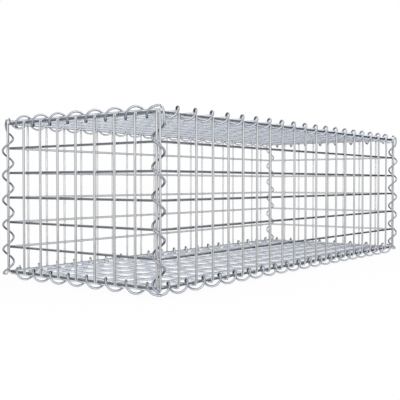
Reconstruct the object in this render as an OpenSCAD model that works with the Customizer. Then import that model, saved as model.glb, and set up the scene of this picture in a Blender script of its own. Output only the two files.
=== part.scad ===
// Welded mesh gabion basket: six flat mesh panels, laced along all twelve edges by spiral binders.
// The front long side faces -Y, +X runs along the length, and the lowest spiral turns lie at z = 0.

/* [Basket] */
// Length between the centres of the two end wires
basket_l = 1000; // [400:50:2000]
// Depth between the centres of the front and back wires
basket_w = 400; // [200:50:1000]
// Height between the centres of the bottom and top wires
basket_h = 300; // [150:50:1000]

/* [Mesh] */
// Spacing of the wires in every panel
mesh_cell = 50; // [40:5:100]
// Thickness of the mesh wire
wire_d = 4.5; // [3:0.1:5]
// Depth that a weld presses one wire into the other
weld_sink = 0.5; // [0.2:0.1:1]
// Clearance between the mitred wire ends of two panels that meet at a corner
corner_gap = 0.3; // [0.1:0.1:1]

/* [Spirals] */
// Thickness of the spiral wire
spiral_wire_d = 4; // [3:0.1:4.5]
// Outer diameter of a spiral
spiral_od = 25.5; // [24:0.5:32]
// Clearance between a spiral and the edge wire that it holds
spiral_gap = 0.3; // [0.1:0.1:0.6]

/* [Hidden] */

mesh_color = [0.74, 0.77, 0.8];
spiral_color = [0.52, 0.54, 0.56];

// Mesh wires are drawn with eight flats, so that crossing wires meet flat to flat
wire_sides = 8;
wire_r = wire_d / 2;
wire_corner_r = wire_r / cos(180 / wire_sides);
// Distance between the two layers of wires in a panel
layer = wire_d - weld_sink;
// How far a cut wire end stays back from the outer face of the edge wire
cut_back = 0.25;
// Reach of a cutting block past the wire that it trims
overrun = 10;

cells_x = round(basket_l / mesh_cell);
cells_y = round(basket_w / mesh_cell);
cells_z = round(basket_h / mesh_cell);
pitch_x = basket_l / cells_x;
pitch_y = basket_w / cells_y;
pitch_z = basket_h / cells_z;

half_l = basket_l / 2;
half_w = basket_w / 2;
half_h = basket_h / 2;

// The lid's edge wires lie just inside the top wires of the sides, its cross wires rest on them
lid_edge_x = half_l - wire_d;
lid_edge_y = half_w - wire_d;
lid_long_z = half_h + weld_sink;
lid_cross_z = half_h + wire_d;

// A spiral is a swept polygon of the same area as the round wire, with a flat towards the axis
coil_steps = 10;
coil_sides = 5;
coil_r = (spiral_od - spiral_wire_d) / 2;
coil_ring_r = spiral_wire_d / 2 * sqrt(2 * PI / (coil_sides * sin(360 / coil_sides)));
coil_flat_r = coil_ring_r * cos(180 / coil_sides);
coil_clear_r = coil_r * cos(180 / coil_steps) - coil_flat_r;

// Where an edge spiral starts and ends, as shares of one turn after and before a corner
start_share = 0.45;
long_end_share = 0;
cross_end_share = 0.05;
// Stretch before the last corner where the end is drawn in, as a share of one turn
drawn_turn_share = 0.25;
// How much closer to the axis that brings it, as a share of the spiral's radius
drawn_in_share = 0.25;
// How much farther past the corner it brings a cross spiral, as a share of one turn
drawn_past_share = 0.35;
// Where a corner spiral leaves its regular turns, as shares of one turn outside the foot and inside the head
corner_start_share = 0.05;
corner_end_share = 0.35;
// Turn and radius of the points of its two ends, as shares of one turn and of the spiral's radius:
// the foot is bent over the ends of the uprights, the head meets the drawn end of the cross spiral
foot_bend_shares = [[-0.1, 0.14], [-0.1, 0.5], [-0.09, 0.86]];
head_bend_shares = [[-0.3, 1.04], [-0.285, 1], [-0.29, 0.76], [-0.31, 0.44]];
// Heights of the same points, as shares of the height of a bend beyond the upright's end
foot_rise_shares = [0.8, 1.25, 1.1];
head_rise_shares = [-1.8, -0.2, 1.45, 1.85];

// A spiral's axis is level with the outer face of the edge wire, and its turns hold the lid's edge
axis_z = half_h + wire_r;
hold_r = coil_clear_r - wire_corner_r - spiral_gap;
front_axis_y = lid_edge_y + sqrt(pow(hold_r, 2) - pow(axis_z - lid_long_z, 2));
end_axis_x = lid_edge_x + sqrt(pow(hold_r, 2) - pow(lid_cross_z - axis_z, 2));
corner_axis_x = half_l + layer / 2;
corner_axis_y = half_w + layer / 2;

// Height of a bend's tip above the middle of the edge wire, clear of the upright's cut end
bend_rise = wire_r - cut_back + spiral_gap + coil_ring_r;

// Height of the basket's middle above the lowest turns
middle_z = axis_z + (coil_r + coil_ring_r) * cos(180 / coil_steps);

// Places of the wires across a panel, from one edge to the other
function places(cells, pitch) = [for (i = [0 : cells]) (i - cells / 2) * pitch];
// The same row with its two outer wires moved in to the given edge
function nested_places(cells, pitch, edge) =
    [for (i = [0 : cells]) i == 0 ? -edge : i == cells ? edge : (i - cells / 2) * pitch];

function unit(v) = v / norm(v);

// A point of a spiral after a number of turns, at a share of its radius and a distance along its axis
function coil_point(turn, share, run) =
    [share * coil_r * cos(360 * turn), -share * coil_r * sin(360 * turn), run];

// Points on the regular turns of a spiral
function coil_turns(first, last, pitch) =
    [for (i = [0 : round((last - first) * coil_steps)])
        let (turn = first + i / coil_steps) coil_point(turn, 1, turn * pitch)];

// Spiral of a level edge, from inside the first cell to its drawn end at the last corner
function edge_path(cells, pitch, end_share, past_share) =
    let (
        last = cells - end_share,
        steps = round((last - start_share) * coil_steps)
    )
    [for (i = [0 : steps])
        let (
            turn = i < steps ? start_share + i / coil_steps : last,
            drawn = pow(max(turn - cells + drawn_turn_share, 0) / drawn_turn_share, 2)
        )
        coil_point(turn, 1 - drawn_in_share * drawn, (turn + past_share * drawn) * pitch)];

// Points of the end of a corner spiral, beyond the upright's end on the given side
function bend_path(bends, rises, height, side) =
    [for (i = [0 : len(bends) - 1])
        coil_point(bends[i][0], bends[i][1], height + side * bend_rise * rises[i])];

// Spiral of an upright corner, bent over the uprights at its foot
corner_path = concat(
    bend_path(foot_bend_shares, foot_rise_shares, 0, -1),
    coil_turns(-corner_start_share, cells_z - corner_end_share, pitch_z),
    bend_path(head_bend_shares, head_rise_shares, basket_h, 1)
);

// One ring of the swept wire, with its first corner pointing away from the spiral's axis
function coil_ring(path, i) =
    let (
        here = path[i],
        before = path[max(i - 1, 0)],
        after = path[min(i + 1, len(path) - 1)],
        ahead = unit(after - before),
        away = [here.x, here.y, 0],
        out = unit(away - (away * ahead) * ahead),
        side = cross(ahead, out)
    )
    [for (k = [0 : coil_sides - 1])
        let (a = 360 * k / coil_sides)
        here + coil_ring_r * (cos(a) * out + sin(a) * side)];

module coil(path) {
    rings = len(path);
    top = (rings - 1) * coil_sides;
    polyhedron(
        points = [for (i = [0 : rings - 1]) each coil_ring(path, i)],
        faces = concat(
            [[for (k = [0 : coil_sides - 1]) k]],
            [for (i = [0 : rings - 2], k = [0 : coil_sides - 1])
                let (a = i * coil_sides + k, b = i * coil_sides + (k + 1) % coil_sides)
                each [[a, a + coil_sides, b + coil_sides], [a, b + coil_sides, b]]],
            [[for (k = [coil_sides - 1 : -1 : 0]) top + k]]
        )
    );
}

// Straight wires along each axis, centred on the origin, with flats facing the other two axes
module wire_z(run) {
    rotate([0, 0, 180 / wire_sides])
        cylinder(r = wire_corner_r, h = run, center = true, $fn = wire_sides);
}
module wire_x(run) { rotate([0, 90, 0]) wire_z(run); }
module wire_y(run) { rotate([90, 0, 0]) wire_z(run); }

// Length of a wire whose cut ends are just short of the faces of the edge wires it joins
function cut_run(reach) = 2 * (reach + wire_r - cut_back);

// A block that cuts wire ends along the diagonal of the corner at +X +Y, on the +Y or the -Y side of it
module mitre_block(side) {
    translate([half_l, half_w, 0])
        rotate([0, 0, 45])
        translate([0, side * (overrun + corner_gap) / 2, 0])
        cube([2 * overrun, overrun, basket_h + overrun], center = true);
}

// Upright panel of the long sides, drawn at +Y: level wires inside, upright wires outside
module side_panel() {
    color(mesh_color) {
        difference() {
            for (z = places(cells_z, pitch_z)) translate([0, half_w, z]) wire_x(basket_l + wire_d);
            mitre_block(-1);
            mirror([1, 0, 0]) mitre_block(-1);
        }
        for (x = places(cells_x, pitch_x)) translate([x, half_w + layer, 0]) wire_z(cut_run(half_h));
    }
}

// Upright panel of the short sides, drawn at +X
module end_panel() {
    color(mesh_color) {
        difference() {
            for (z = places(cells_z, pitch_z)) translate([half_l, 0, z]) wire_y(basket_w + wire_d);
            mitre_block(1);
            mirror([0, 1, 0]) mitre_block(1);
        }
        for (y = places(cells_y, pitch_y)) translate([half_l + layer, y, 0]) wire_z(cut_run(half_h));
    }
}

// Level panel, drawn as the lid: long wires below, cross wires on top
module flat_panel() {
    color(mesh_color) {
        for (y = nested_places(cells_y, pitch_y, lid_edge_y))
            translate([0, y, lid_long_z]) wire_x(cut_run(lid_edge_x));
        for (x = nested_places(cells_x, pitch_x, lid_edge_x))
            translate([x, 0, lid_cross_z]) wire_y(cut_run(half_w));
    }
}

// Spiral along the front top edge, wound from the left end to the right
module long_spiral() {
    color(spiral_color)
        translate([-half_l, -front_axis_y, axis_z])
        rotate([180, -90, 0])
        coil(edge_path(cells_x, pitch_x, long_end_share, 0));
}

// Spiral along the left top edge, wound from the back to the front
module cross_spiral() {
    color(spiral_color)
        translate([-end_axis_x, half_w, axis_z])
        rotate([180, -90, -90])
        coil(edge_path(cells_y, pitch_y, cross_end_share, drawn_past_share));
}

// Spiral up the front left corner
module corner_spiral() {
    color(spiral_color)
        translate([-corner_axis_x, -corner_axis_y, -half_h])
        rotate([0, 0, 180])
        coil(corner_path);
}

module half_turn() { rotate([0, 0, 180]) children(); }
// Moves a top spiral to the bottom without changing the way it is wound
module rolled() { rotate([0, 180, 0]) children(); }
module underside() { mirror([0, 0, 1]) children(); }
module stood() { translate([0, 0, middle_z]) children(); }

module front_panel() { stood() half_turn() side_panel(); }
module back_panel() { stood() side_panel(); }
module left_end_panel() { stood() half_turn() end_panel(); }
module right_end_panel() { stood() end_panel(); }
module base_panel() { stood() underside() flat_panel(); }
module lid_panel() { stood() flat_panel(); }

module top_front_spiral() { stood() long_spiral(); }
module top_back_spiral() { stood() half_turn() long_spiral(); }
module top_left_spiral() { stood() cross_spiral(); }
module top_right_spiral() { stood() half_turn() cross_spiral(); }
module bottom_front_spiral() { stood() rolled() long_spiral(); }
module bottom_back_spiral() { stood() rolled() half_turn() long_spiral(); }
module bottom_left_spiral() { stood() underside() cross_spiral(); }
module bottom_right_spiral() { stood() underside() half_turn() cross_spiral(); }
module front_left_spiral() { stood() corner_spiral(); }
module back_right_spiral() { stood() half_turn() corner_spiral(); }
module front_right_spiral() { stood() mirror([1, 0, 0]) corner_spiral(); }
module back_left_spiral() { stood() half_turn() mirror([1, 0, 0]) corner_spiral(); }

front_panel();
back_panel();
left_end_panel();
right_end_panel();
base_panel();
lid_panel();
top_front_spiral();
top_back_spiral();
top_left_spiral();
top_right_spiral();
bottom_front_spiral();
bottom_back_spiral();
bottom_left_spiral();
bottom_right_spiral();
front_left_spiral();
front_right_spiral();
back_left_spiral();
back_right_spiral();
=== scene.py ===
import math
import random

import bpy
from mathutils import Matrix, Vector


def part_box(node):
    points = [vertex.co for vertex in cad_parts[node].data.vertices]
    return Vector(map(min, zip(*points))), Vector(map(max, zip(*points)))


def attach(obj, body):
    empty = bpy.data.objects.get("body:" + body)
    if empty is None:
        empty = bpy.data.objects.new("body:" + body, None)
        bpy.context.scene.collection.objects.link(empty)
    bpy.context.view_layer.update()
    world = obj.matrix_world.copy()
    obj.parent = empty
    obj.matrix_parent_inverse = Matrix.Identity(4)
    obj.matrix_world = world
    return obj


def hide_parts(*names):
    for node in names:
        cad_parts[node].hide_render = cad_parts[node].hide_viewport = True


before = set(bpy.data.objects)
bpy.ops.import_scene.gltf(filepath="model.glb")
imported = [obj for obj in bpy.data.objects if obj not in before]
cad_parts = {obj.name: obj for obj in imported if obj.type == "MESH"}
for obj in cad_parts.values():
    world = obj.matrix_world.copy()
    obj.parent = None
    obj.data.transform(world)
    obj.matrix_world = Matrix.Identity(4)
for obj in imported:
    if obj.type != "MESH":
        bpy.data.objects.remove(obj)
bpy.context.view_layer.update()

mm = 0.001
axisX = Vector((1, 0, 0))
axisY = Vector((0, 1, 0))
axisZ = Vector((0, 0, 1))
dice = random.Random(40)  # one seeded source for every small irregularity

# camera, set first: matched to the wire crossings
view = {
    "place": (-1404.4 * mm, -984.0 * mm, 194.9 * mm),
    "turn": 52.45,  # degrees from +Y towards +X
    "down": 1.401,
    "lens": 63.6,
    "sensor": 36.0,
    "clipEnd": 100.0,
}


def addCamera():
    data = bpy.data.cameras.new("photoCamera")
    data.lens = view["lens"]
    data.sensor_width = view["sensor"]
    data.sensor_fit = "HORIZONTAL"
    data.clip_end = view["clipEnd"]
    data.dof.use_dof = False
    camera = bpy.data.objects.new("photoCamera", data)
    camera.location = view["place"]
    camera.rotation_euler = (math.radians(90 - view["down"]), 0, math.radians(-view["turn"]))
    bpy.context.scene.collection.objects.link(camera)
    bpy.context.scene.camera = camera


addCamera()
print("camera set")

# welded mesh: the basket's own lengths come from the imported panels, below
mesh = {
    "wire": 4.5 * mm,
    "sink": 0.5 * mm,  # how deep a weld presses the wires together
    "cell": 50 * mm,
    "cutBack": 0.25 * mm,  # how far a cut end stays behind the outer face of the edge wire
    "mitreBack": 0.2 * mm,  # how far the middle of a mitred end stays behind the corner
    "sides": 16,  # faces round a wire
    "bevel": 0.5 * mm,  # rounding at a cut end
    "weldReach": (2.5 * mm, 7 * mm),  # where a weld's press is down to pressLeft, and where it ends
    "pressLeft": 0.5,
    "flatten": 0.06,  # how much thinner a weld makes the wire
    "spread": 0.6,  # how much wider, as a share of that
    "bead": (3.2 * mm, 1.6 * mm),  # half width and half height of a weld bead
    "beadVary": (0.9, 1.12),
    "beadRings": 5,
    "beadSides": 10,
    "rolled": 0.6,  # painted shade along the two sides of a wire, against a weld's dull mark
}
endTaper = 0.6  # share of the bevel that comes off the radius at a cut end
shiftRange = (0, 10)  # metres along the noise, so that no two wires have the same marks
wireR = mesh["wire"] / 2
layer = mesh["wire"] - mesh["sink"]

frontLow, frontHigh = (Vector(c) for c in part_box("front_panel"))
endHigh = Vector(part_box("right_end_panel")[1])
halfL = frontHigh.x - wireR
halfW = endHigh.y - wireR
cellsX = round(2 * halfL / mesh["cell"])
cellsY = round(2 * halfW / mesh["cell"])
cellsZ = round((frontHigh.z - frontLow.z) / mesh["cell"])
halfH = cellsZ * mesh["cell"] / 2
middleZ = (frontLow.z + frontHigh.z) / 2
bottomZ = middleZ - halfH
print("half sizes", round(halfL, 4), round(halfW, 4), round(halfH, 4), "cells", cellsX, cellsY, cellsZ)


def wirePlaces(cells, half, edge=None):
    # evenly spaced, but the two outermost wires stand at the edge where it is given
    row = [half * (2 * i / cells - 1) for i in range(cells + 1)]
    if edge is not None:
        row[0], row[-1] = -edge, edge
    return row


class MeshParts:
    # vertices, faces and marks of one piece while it is gathered
    def __init__(self):
        self.verts = []
        self.faces = []
        self.finish = []
        self.along = []
        self.dullAndShade = []

    def rings(self, rows, finish):
        # rows of (points, places on the wire, dull marks), skinned into a tube with capped ends
        count = len(rows[0][0])
        start = len(self.verts)
        for points, places, dullAndShade in rows:
            self.verts.extend(points)
            self.along.extend(places)
            self.dullAndShade.extend(dullAndShade)
        for i in range(len(rows) - 1):
            a = start + i * count
            for k in range(count):
                n = (k + 1) % count
                self.faces.append((a + k, a + n, a + count + n, a + count + k))
        last = start + (len(rows) - 1) * count
        self.faces.append(tuple(start + k for k in reversed(range(count))))
        self.faces.append(tuple(last + k for k in range(count)))
        self.finish.extend([finish] * (len(self.faces) - len(self.finish)))

    def piece(self, name, materials):
        data = bpy.data.meshes.new(name)
        data.from_pydata([tuple(v) for v in self.verts], [], self.faces)
        data.polygons.foreach_set("use_smooth", [len(f) == 4 for f in self.faces])
        for material in materials:
            data.materials.append(material)
        data.polygons.foreach_set("material_index", self.finish)
        along = data.attributes.new("wireAlong", "FLOAT_VECTOR", "POINT")
        along.data.foreach_set("vector", [c for v in self.along for c in v])
        dullAndShade = data.attributes.new("dullAndShadeMark", "FLOAT", "POINT")
        dullAndShade.data.foreach_set("value", self.dullAndShade)
        data.update()
        obj = bpy.data.objects.new(name, data)
        bpy.context.scene.collection.objects.link(obj)
        return obj


def weldShare(distance):
    # how much of a weld's press is left at a distance along the wire
    near, far = mesh["weldReach"]
    left = mesh["pressLeft"]
    if distance <= near:
        return 1 - (1 - left) * distance / near
    return max(0.0, left * (far - distance) / (far - near))


def addWire(parts, middle, along, out, reach, crossings, finish, mitred):
    # one straight wire: rings close together at each weld, where the section is pressed flatter
    near, far = mesh["weldReach"]
    side = along.cross(out)
    endZone = reach - 2 * mesh["bevel"]
    stops = {-reach, reach, -reach + mesh["bevel"], reach - mesh["bevel"]}
    for c in crossings:
        for step in (-far, -near, 0, near, far):
            if abs(c + step) < endZone:
                stops.add(c + step)
    stops = sorted(stops)
    shift = dice.uniform(*shiftRange)
    rows = []
    for i, s in enumerate(stops):
        atEnd = i in (0, len(stops) - 1)
        press = max((weldShare(abs(s - c)) for c in crossings), default=0)
        radius = wireR - (endTaper * mesh["bevel"] if atEnd else 0)
        points, places, dullAndShade = [], [], []
        for k in range(mesh["sides"]):
            angle = 2 * math.pi * k / mesh["sides"]
            outward = radius * math.cos(angle) * (1 - mesh["flatten"] * press)
            across = radius * math.sin(angle) * (1 + mesh["spread"] * mesh["flatten"] * press)
            lean = math.copysign(outward, s) if mitred and abs(s) > endZone else 0
            points.append(middle + along * (s + lean) + out * outward + side * across)
            places.append((wireR * math.cos(angle), wireR * math.sin(angle), s + shift))
            # the dull mark of a weld's press, or painted shade on the wire's two faces that look along the
            # panel
            dullAndShade.append(max(press, mesh["rolled"] * math.sin(angle) ** 2))
        rows.append((points, places, dullAndShade))
    parts.rings(rows, finish)


def addBead(parts, place, u, v, out, finish):
    # the small cushion of metal squeezed out where two wires are welded
    wide, high = mesh["bead"]
    wideU = wide * dice.uniform(*mesh["beadVary"])
    wideV = wide * dice.uniform(*mesh["beadVary"])
    shift = dice.uniform(*shiftRange)
    rows = []
    for r in range(1, mesh["beadRings"] + 1):
        tilt = math.pi * r / (mesh["beadRings"] + 1)
        flat = math.sin(tilt)
        points, places = [], []
        for k in range(mesh["beadSides"]):
            angle = 2 * math.pi * k / mesh["beadSides"]
            points.append(place + u * wideU * flat * math.cos(angle) + v * wideV * flat * math.sin(angle)
                          - out * high * math.cos(tilt))
            places.append((wide * math.cos(angle), wide * math.sin(angle), shift + high * math.cos(tilt)))
        rows.append((points, places, [1.0] * mesh["beadSides"]))
    parts.rings(rows, finish)


outerWire, innerWire, weldBead = range(3)  # places of a panel's materials


def addPanel(panel, materials):
    # inner wires run one way, outer wires cross them on the outside
    parts = MeshParts()
    middle, run, cross, out = panel["middle"], panel["run"], panel["cross"], panel["out"]
    for p in panel["innerPlaces"]:
        addWire(parts, middle + cross * p, run, out, panel["innerReach"], panel["outerPlaces"],
                innerWire, panel["mitred"])
    for q in panel["outerPlaces"]:
        addWire(parts, middle + out * layer + run * q, cross, out, panel["outerReach"],
                panel["innerPlaces"], outerWire, False)
    for p in panel["innerPlaces"]:
        for q in panel["outerPlaces"]:
            addBead(parts, middle + cross * p + run * q + out * layer / 2, run, cross, out, weldBead)
    piece = parts.piece(panel["name"], materials)
    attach(piece, "root")
    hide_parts(panel["node"])


# finishes: one zinc effect with painted shade and painted highlights, placed in each wire's material with
# its own values
def newGroup(name, inputs, outputs):
    group = bpy.data.node_groups.new(name, "ShaderNodeTree")
    for way, sockets in (("INPUT", inputs), ("OUTPUT", outputs)):
        for label, kind in sockets:
            group.interface.new_socket(label, in_out=way, socket_type=kind)
    return group, group.nodes.new("NodeGroupInput"), group.nodes.new("NodeGroupOutput")


def addNode(tree, kind, **values):
    node = tree.nodes.new(kind)
    for key, value in values.items():
        setattr(node, key, value)
    return node


def feed(tree, socket, value):
    # a link from another node's output, or a plain value
    if hasattr(value, "is_linked"):
        tree.links.new(value, socket)
    else:
        socket.default_value = value


def mathNode(tree, operation, first, second):
    node = addNode(tree, "ShaderNodeMath", operation=operation)
    feed(tree, node.inputs[0], first)
    feed(tree, node.inputs[1], second)
    return node.outputs[0]


def mixColor(tree, share, first, second, blend="MIX"):
    node = addNode(tree, "ShaderNodeMix", data_type="RGBA", blend_type=blend)
    sockets = {socket.identifier: socket for socket in node.inputs}
    feed(tree, sockets["Factor_Float"], share)
    feed(tree, sockets["A_Color"], first)
    feed(tree, sockets["B_Color"], second)
    return next(s for s in node.outputs if s.identifier == "Result_Color")


def noiseNode(tree, vector, scale, detail, rough):
    node = addNode(tree, "ShaderNodeTexNoise")
    tree.links.new(vector, node.inputs["Vector"])
    node.inputs["Scale"].default_value = scale
    node.inputs["Detail"].default_value = detail
    node.inputs["Roughness"].default_value = rough
    return node.outputs["Fac"]


def rangeNode(tree, value, low, high, toLow, toHigh):
    node = addNode(tree, "ShaderNodeMapRange", interpolation_type="SMOOTHSTEP")
    tree.links.new(value, node.inputs["Value"])
    for label, number in (("From Min", low), ("From Max", high), ("To Min", toLow), ("To Max", toHigh)):
        node.inputs[label].default_value = number
    return node.outputs["Result"]


zinc = {
    # scale, detail and roughness of the noise
    "streaks": (2600.0, 3, 0.55),  # drawing lines, across the wire
    "patches": (55.0, 4, 0.6),  # dull and bright patches of the zinc coat
    "grain": (1500.0, 2, 0.5),  # fine crystals
    "spots": (600.0, 3, 0.6),  # broken edge of a dull mark
    "streakStretch": 0.012,  # how wide a drawing line is against its length
    # noise values that count as the lowest and the highest
    "streakRange": (0.3, 0.7),
    "patchRange": (0.35, 0.65),
    "spotRange": (0.3, 0.6),
    "spotLeast": 0.4,  # what is left of a dull mark or of painted shade where it is broken
    # the colour of a weld's dull mark, and of the painted shade on a wire's sides and inside a coil
    "dullAndShadeTone": (0.12, 0.125, 0.135, 1),
    "edgeTone": (0.0, 0.0, 0.0, 1),  # the metal seen at a glancing angle
    "dullRough": 0.25,
    "patchRough": 0.06,
    "turnedRange": (0.15, 0.75),  # how far a face is turned up or down when its shade starts and is full
    "streakHeight": 0.5,
    "grainHeight": 0.3,
    "bumpDepth": 0.1 * mm,
}


def zincGroup():
    group, given, result = newGroup(
        "zincCoatAndPaintedShade",
        (("Tone", "NodeSocketColor"), ("Roughness", "NodeSocketFloat"), ("Patch", "NodeSocketFloat"),
         ("Streak", "NodeSocketFloat"), ("DullAndShade", "NodeSocketFloat"), ("Upper", "NodeSocketFloat"),
         ("Under", "NodeSocketFloat")),
        (("Color", "NodeSocketColor"), ("Roughness", "NodeSocketFloat"), ("Height", "NodeSocketFloat")),
    )
    links = group.links
    wanted = given.outputs

    def plus(first, second):
        return mathNode(group, "ADD", first, second)

    def times(first, second):
        return mathNode(group, "MULTIPLY", first, second)

    along = addNode(group, "ShaderNodeAttribute", attribute_name="wireAlong").outputs["Vector"]
    mark = addNode(group, "ShaderNodeAttribute", attribute_name="dullAndShadeMark").outputs["Fac"]
    stretch = addNode(group, "ShaderNodeMapping")
    stretch.inputs["Scale"].default_value = (1, 1, zinc["streakStretch"])
    links.new(along, stretch.inputs["Vector"])
    streaks = noiseNode(group, stretch.outputs["Vector"], *zinc["streaks"])
    patches = noiseNode(group, along, *zinc["patches"])
    grain = noiseNode(group, along, *zinc["grain"])
    spots = noiseNode(group, along, *zinc["spots"])
    patchShade = rangeNode(group, patches, *zinc["patchRange"], -1, 1)
    streakShade = rangeNode(group, streaks, *zinc["streakRange"], -1, 1)
    shade = plus(times(patchShade, wanted["Patch"]), times(streakShade, wanted["Streak"]))

    # faces turned up or down: painted shade that darkens them, or below zero a painted highlight that
    # brightens them
    geometry = addNode(group, "ShaderNodeNewGeometry")
    normal = addNode(group, "ShaderNodeSeparateXYZ")
    links.new(geometry.outputs["Normal"], normal.inputs[0])
    low, high = zinc["turnedRange"]
    upper = rangeNode(group, normal.outputs["Z"], low, high, 0, 1)
    under = rangeNode(group, normal.outputs["Z"], -high, -low, 1, 0)
    paintedTurnShade = plus(times(upper, wanted["Upper"]), times(under, wanted["Under"]))
    paintedTurnLight = mathNode(group, "SUBTRACT", 1, paintedTurnShade)
    light = times(paintedTurnLight, plus(1, shade))
    toned = mixColor(group, 1, wanted["Tone"], light, "MULTIPLY")

    # dull marks and painted shade: heat round a weld, painted shade along the sides of a wire and inside a
    # coil turn
    broken = rangeNode(group, spots, *zinc["spotRange"], zinc["spotLeast"], 1)
    dullAndShade = times(times(mark, wanted["DullAndShade"]), broken)
    dulledAndShaded = mixColor(group, 1, toned, zinc["dullAndShadeTone"], "MULTIPLY")
    links.new(mixColor(group, dullAndShade, toned, dulledAndShaded), result.inputs["Color"])

    changes = plus(times(patchShade, zinc["patchRough"]), times(dullAndShade, zinc["dullRough"]))
    links.new(plus(wanted["Roughness"], changes), result.inputs["Roughness"])
    fine = plus(times(grain, zinc["grainHeight"]), times(spots, dullAndShade))
    links.new(plus(times(streaks, zinc["streakHeight"]), fine), result.inputs["Height"])
    return group


zincCoatAndPaintedShade = zincGroup()


def zincMaterial(name, tone, rough=0.3, patch=0.05, streak=0.05, dullAndShade=0.3, upper=0.0, under=0.0, bump=0.15):
    material = bpy.data.materials.new(name)
    material.use_nodes = True
    tree = material.node_tree
    shader = tree.nodes["Principled BSDF"]
    coat = addNode(tree, "ShaderNodeGroup", node_tree=zincCoatAndPaintedShade)
    for label, value in (("Tone", (*tone, 1)), ("Roughness", rough), ("Patch", patch), ("Streak", streak),
                         ("DullAndShade", dullAndShade), ("Upper", upper), ("Under", under)):
        coat.inputs[label].default_value = value
    bumps = addNode(tree, "ShaderNodeBump")
    bumps.inputs["Strength"].default_value = bump
    bumps.inputs["Distance"].default_value = zinc["bumpDepth"]
    tree.links.new(coat.outputs["Height"], bumps.inputs["Height"])
    tree.links.new(coat.outputs["Color"], shader.inputs["Base Color"])
    tree.links.new(coat.outputs["Roughness"], shader.inputs["Roughness"])
    tree.links.new(bumps.outputs["Normal"], shader.inputs["Normal"])
    shader.inputs["Metallic"].default_value = 1.0
    shader.inputs["Specular Tint"].default_value = zinc["edgeTone"]
    material.diffuse_color = (*tone, 1)
    return material


# the wires as they look in the photo, as lit and shaded copies of one zinc: uprights pale, the near level
# wires painted dark, what lies farther off painted paler
# upper and under: painted shade on faces turned up or down, below zero a painted highlight
finishes = {
    "nearUpright": {"tone": (0.51, 0.52, 0.535), "rough": 0.2, "dullAndShade": 0.05},
    "farUprightPaintedPale": {"tone": (0.8, 0.808, 0.82), "patch": 0.03, "streak": 0.03, "dullAndShade": 0.2},
    "frontLevelPaintedDark": {"tone": (0.103, 0.11, 0.118), "dullAndShade": 0.0, "upper": -4.4, "under": -4.9},
    "endLevelPaintedDark": {"tone": (0.125, 0.132, 0.143), "dullAndShade": 0.0, "upper": -2.5, "under": -2.5},
    "farLevelPaintedPale": {"tone": (0.77, 0.785, 0.8), "dullAndShade": 0.1, "upper": 0.38, "under": 0.38},
    "flat": {"tone": (0.83, 0.87, 0.94), "dullAndShade": 0.0, "upper": 0.32, "under": 0.12},
    # weld beads painted brighter than the wires: a painted highlight
    "weld": {"tone": (0.9, 0.915, 0.935), "rough": 0.45, "patch": 0.1, "streak": 0.02, "dullAndShade": 0.1,
             "bump": 0.3},
    "farWeld": {"tone": (0.7, 0.73, 0.78), "rough": 0.45, "patch": 0.08, "streak": 0.02, "dullAndShade": 0.05},
    "flatWeld": {"tone": (0.78, 0.82, 0.88), "rough": 0.45, "patch": 0.08, "streak": 0.02, "dullAndShade": 0.0},
    "nearSpiral": {"tone": (0.6, 0.632, 0.705), "rough": 0.12, "dullAndShade": 1.0, "under": 0.2},
    "farSpiralPaintedPale": {"tone": (0.74, 0.765, 0.815), "rough": 0.15, "dullAndShade": 0.8, "under": 0.2},
}
zincs = {name: zincMaterial(name + "Zinc", **values) for name, values in finishes.items()}
print("zinc finishes made")

levelPlaces = wirePlaces(cellsZ, halfH)
uprightReach = halfH + wireR - mesh["cutBack"]
nestX = halfL - mesh["wire"]
nestY = halfW - mesh["wire"]


def sidePanel(name, node, out, upright, level, weld):
    isLong = out.x == 0
    half, cells, depth = (halfL, cellsX, halfW) if isLong else (halfW, cellsY, halfL)
    panel = {
        "name": name,
        "node": node,
        "middle": out * depth + axisZ * middleZ,
        "run": axisX if isLong else axisY,
        "cross": axisZ,
        "out": out,
        "innerPlaces": levelPlaces,
        "outerPlaces": wirePlaces(cells, half),
        "innerReach": half - mesh["mitreBack"],
        "outerReach": uprightReach,
        "mitred": True,
    }
    addPanel(panel, [zincs[upright], zincs[level], zincs[weld]])


def flatPanel(name, node, out):
    # its edge wires are nested inside those of the sides
    panel = {
        "name": name,
        "node": node,
        "middle": axisZ * middleZ + out * (halfH + mesh["sink"]),
        "run": axisX,
        "cross": axisY,
        "out": out,
        "innerPlaces": wirePlaces(cellsY, halfW, nestY),
        "outerPlaces": wirePlaces(cellsX, halfL, nestX),
        "innerReach": nestX + wireR - mesh["cutBack"],
        "outerReach": halfW + wireR - mesh["cutBack"],
        "mitred": False,
    }
    addPanel(panel, [zincs["flat"], zincs["flat"], zincs["flatWeld"]])


# near sides take level wires painted dark, far sides the copies painted paler
sidePanel("frontMesh", "front_panel", -axisY, "nearUpright", "frontLevelPaintedDark", "weld")
sidePanel("backMesh", "back_panel", axisY, "farUprightPaintedPale", "farLevelPaintedPale", "farWeld")
sidePanel("leftEndMesh", "left_end_panel", -axisX, "nearUpright", "endLevelPaintedDark", "weld")
sidePanel("rightEndMesh", "right_end_panel", axisX, "farUprightPaintedPale", "farLevelPaintedPale", "farWeld")
flatPanel("baseMesh", "base_panel", -axisZ)
flatPanel("lidMesh", "lid_panel", axisZ)
print("six mesh panels made")

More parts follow.
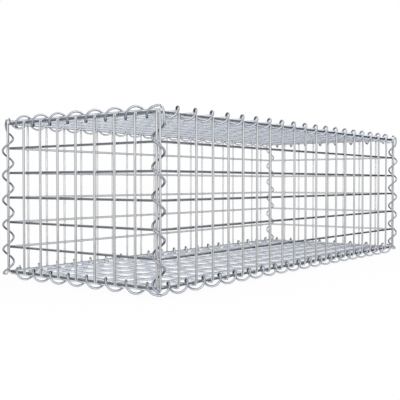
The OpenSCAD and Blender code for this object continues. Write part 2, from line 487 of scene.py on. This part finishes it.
# spiral binders, one along each edge
spiral = {
    "wire": 4.0 * mm,
    "radius": 10.4 * mm,  # at the centre of the wire
    "steps": 32,  # rings in one turn
    "sides": 12,
    "bevel": 0.5 * mm,
    "rolledOutside": (0.75, 3.0),  # strength of the painted shade on the outer side of a turn, and how sharply it ends
    # the same for the painted shade on the inner side of a turn, where shade falls inside the coil
    "rolledInside": (1.0, 0.8),
    "start": 0.45,  # an edge spiral starts inside the first cell, in turns
    "longEnd": 0.0,  # a long one ends at the last corner
    "crossEnd": 0.05,  # and a cross one this many turns before it
    "drawnTurn": 0.25,  # over these last turns the end is drawn in, by a share of the radius
    "drawnIn": 0.25,
    "drawnPast": 0.35,  # and a cross one is drawn out past the corner, in turns
    "cornerStart": -0.05,  # below this turn a corner spiral is bent over the uprights
    "cornerEnd": 0.35,  # and from this many turns before the top
    "bendSteps": 7,
    "bendLead": 0.1,  # turns of the coil that lead the curve into a bend
    "tipRise": 4.3 * mm,
    # turn, share of the radius, share of the tip's rise
    "foot": ((-0.1, 0.14, 1.0), (-0.1, 0.5, 1.25), (-0.09, 0.86, 1.1)),
    "head": ((-0.3, 1.04, -1.8), (-0.285, 1.0, -0.2), (-0.29, 0.76, 1.45), (-0.31, 0.44, 1.85)),
}
spiralR = spiral["wire"] / 2


def coilPoint(turn, share, z):
    # parts towards the cap, towards the outside, and along the run
    r = spiral["radius"] * share
    return Vector((r * math.cos(2 * math.pi * turn), -r * math.sin(2 * math.pi * turn), z))


def turnsBetween(first, last):
    count = round((last - first) * spiral["steps"])
    return [first + (last - first) * i / count for i in range(count + 1)]


def smoothed(keys, first, last):
    # points on a smooth curve through the keys, from key first to key last
    points = []
    for i in range(first, last):
        p0, p1, p2, p3 = keys[max(i - 1, 0)], keys[i], keys[i + 1], keys[min(i + 2, len(keys) - 1)]
        for j in range(spiral["bendSteps"]):
            t = j / spiral["bendSteps"]
            points.append(0.5 * (2 * p1 + (p2 - p0) * t + (2 * p0 - 5 * p1 + 4 * p2 - p3) * t ** 2
                                 + (3 * p1 - p0 - 3 * p2 + p3) * t ** 3))
    return points


def edgePath(cells, pitch, end, past):
    points = []
    for turn in turnsBetween(spiral["start"], cells - end):
        drawn = (max(turn - cells + spiral["drawnTurn"], 0) / spiral["drawnTurn"]) ** 2
        points.append(coilPoint(turn, 1 - spiral["drawnIn"] * drawn, (turn + past * drawn) * pitch))
    return points


def cornerPath(cells, pitch):
    def onCoil(turns):
        return [coilPoint(t, 1, t * pitch) for t in turns]

    rise = spiral["tipRise"]
    lead = spiral["bendLead"]
    first, last = spiral["cornerStart"], cells - spiral["cornerEnd"]
    foot = [coilPoint(t, r, -rise * h) for t, r, h in spiral["foot"]]
    head = [coilPoint(t, r, cells * pitch + rise * h) for t, r, h in spiral["head"]]
    body = onCoil(turnsBetween(first, last))
    lower = smoothed(foot + onCoil((first, first + lead)), 0, len(foot))
    upper = smoothed(onCoil((last - lead, last)) + head, 1, len(head) + 1)
    return lower + body[:-1] + upper + [head[-1]]


def addSpiral(name, node, start, run, cap, out, path, finish):
    # a tube along the path, its rings carried on from one to the next without twist
    centres = [start + cap * p.x + out * p.y + run * p.z for p in path]
    away = (centres[0] - start).cross(run).normalized()
    shift = dice.uniform(*shiftRange)
    length = 0.0
    rows = []
    for i, here in enumerate(centres):
        before, after = centres[max(i - 1, 0)], centres[min(i + 1, len(centres) - 1)]
        ahead = (after - before).normalized()
        away = (away - ahead * away.dot(ahead)).normalized()
        side = ahead.cross(away)
        length += (here - before).length
        atEnd = i in (0, len(centres) - 1)
        radius = spiralR - (endTaper * spiral["bevel"] if atEnd else 0)
        fromAxis = here - start
        fromAxis = (fromAxis - run * fromAxis.dot(run)).normalized()
        points, places, rolled = [], [], []
        for k in range(spiral["sides"]):
            angle = 2 * math.pi * k / spiral["sides"]
            face = away * math.cos(angle) + side * math.sin(angle)
            points.append(here + face * radius)
            places.append((spiralR * math.cos(angle), spiralR * math.sin(angle), length + shift))
            # painted shade: darker on the inside of each turn, and in a narrow band on its outermost side
            outward = face.dot(fromAxis)
            strength, fade = spiral["rolledOutside"] if outward > 0 else spiral["rolledInside"]
            rolled.append(strength * abs(outward) ** fade)
        rows.append((points, places, rolled))
    parts = MeshParts()
    parts.rings(rows, 0)
    piece = parts.piece(name, [zincs[finish]])
    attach(piece, "root")
    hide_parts(node)


def nodeMiddle(node):
    low, high = (Vector(c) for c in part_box(node))
    return (low + high) / 2


longPath = edgePath(cellsX, 2 * halfL / cellsX, spiral["longEnd"], 0)
crossPath = edgePath(cellsY, 2 * halfW / cellsY, spiral["crossEnd"], spiral["drawnPast"])
uprightPath = cornerPath(cellsZ, 2 * halfH / cellsZ)
longRuns = {"top_front": axisX, "top_back": -axisX, "bottom_front": -axisX, "bottom_back": axisX}
crossRuns = {"top_left": -axisY, "top_right": axisY, "bottom_left": -axisY, "bottom_right": axisY}
outsides = {"front": -axisY, "back": axisY, "left": -axisX, "right": axisX, "top": axisZ, "bottom": -axisZ}
for edge, run in {**longRuns, **crossRuns}.items():
    height, side = edge.split("_")
    node = edge + "_spiral"
    start = nodeMiddle(node)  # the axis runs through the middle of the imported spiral
    isLong = edge in longRuns
    if isLong:
        start.x = -halfL * run.x
    else:
        start.y = -halfW * run.y
    path = longPath if isLong else crossPath
    # the far edges' spirals take the copy painted paler
    finish = "nearSpiral" if side in ("front", "left") else "farSpiralPaintedPale"
    addSpiral(height + side.title() + "Spiral", node, start, run,
              outsides[height], outsides[side], path, finish)

cornerX, cornerY = halfL + layer / 2, halfW + layer / 2
for depth in ("front", "back"):
    for side in ("left", "right"):
        start = axisZ * bottomZ + outsides[side] * cornerX + outsides[depth] * cornerY
        # the far corner's spiral takes the copy painted paler
        finish = "farSpiralPaintedPale" if (depth, side) == ("back", "right") else "nearSpiral"
        addSpiral(depth + side.title() + "Spiral", depth + "_" + side + "_spiral", start, axisZ,
                  outsides[side], outsides[depth], uprightPath, finish)
print("twelve spirals made")

# studio: pale floor, soft light, white all round
studio = {
    "floorHalf": 30.0,
    "floorDrop": 0.5 * mm,
    "floorTone": (0.92, 0.92, 0.93),
    "floorRough": 0.9,
    "floorWhite": 0.93,  # share of plain white that the floor shows
    "white": (1, 1, 1, 1),
    "ambient": (0.9, 0.9, 0.9, 1),
    "target": (0.0, 0.0, 0.15),
    # place, width and height, power in watts
    "lamps": {
        "topSoft": ((0.2, 0.0, 2.2), (2.4, 1.6), 8.0),
        "frontSoft": ((-1.75, -1.35, 0.6), (2.6, 2.0), 10.0),
    },
}


def whiteRays(tree):
    # the rays that meet plain white: metal and glass show it too
    path = addNode(tree, "ShaderNodeLightPath")
    seen = mathNode(tree, "MAXIMUM", path.outputs["Is Camera Ray"], path.outputs["Is Glossy Ray"])
    return mathNode(tree, "MAXIMUM", seen, path.outputs["Is Transmission Ray"])


def addFloor():
    half = studio["floorHalf"]
    corners = [(x * half, y * half, 0) for x, y in ((-1, -1), (1, -1), (1, 1), (-1, 1))]
    data = bpy.data.meshes.new("paleFloor")
    data.from_pydata(corners, [], [(0, 1, 2, 3)])
    floor = bpy.data.objects.new("paleFloor", data)
    floor.location.z = -studio["floorDrop"]
    bpy.context.scene.collection.objects.link(floor)
    material = bpy.data.materials.new("paleFloor")
    material.use_nodes = True
    tree = material.node_tree
    shader = tree.nodes["Principled BSDF"]
    shader.inputs["Base Color"].default_value = (*studio["floorTone"], 1)
    shader.inputs["Roughness"].default_value = studio["floorRough"]
    white = addNode(tree, "ShaderNodeEmission")
    white.inputs["Color"].default_value = studio["white"]
    mix = addNode(tree, "ShaderNodeMixShader")
    tree.links.new(mathNode(tree, "MULTIPLY", whiteRays(tree), studio["floorWhite"]), mix.inputs[0])
    tree.links.new(shader.outputs[0], mix.inputs[1])
    tree.links.new(white.outputs[0], mix.inputs[2])
    tree.links.new(mix.outputs[0], tree.nodes["Material Output"].inputs["Surface"])
    data.materials.append(material)


def addWorld():
    world = bpy.data.worlds.new("whiteStudio")
    bpy.context.scene.world = world
    world.use_nodes = True
    tree = world.node_tree
    lit = mixColor(tree, whiteRays(tree), studio["ambient"], studio["white"])
    tree.links.new(lit, tree.nodes["Background"].inputs["Color"])


def addLamp(name, place, target, size, power):
    data = bpy.data.lights.new(name, "AREA")
    data.shape = "RECTANGLE"
    data.size, data.size_y = size
    data.energy = power
    lamp = bpy.data.objects.new(name, data)
    lamp.location = place
    lamp.visible_camera = False
    lamp.rotation_euler = (Vector(target) - Vector(place)).to_track_quat("-Z", "Y").to_euler()
    bpy.context.scene.collection.objects.link(lamp)


addFloor()
addWorld()
for name, (place, size, power) in studio["lamps"].items():
    addLamp(name, place, studio["target"], size, power)
bpy.context.scene.view_settings.view_transform = "Standard"
print("studio set")
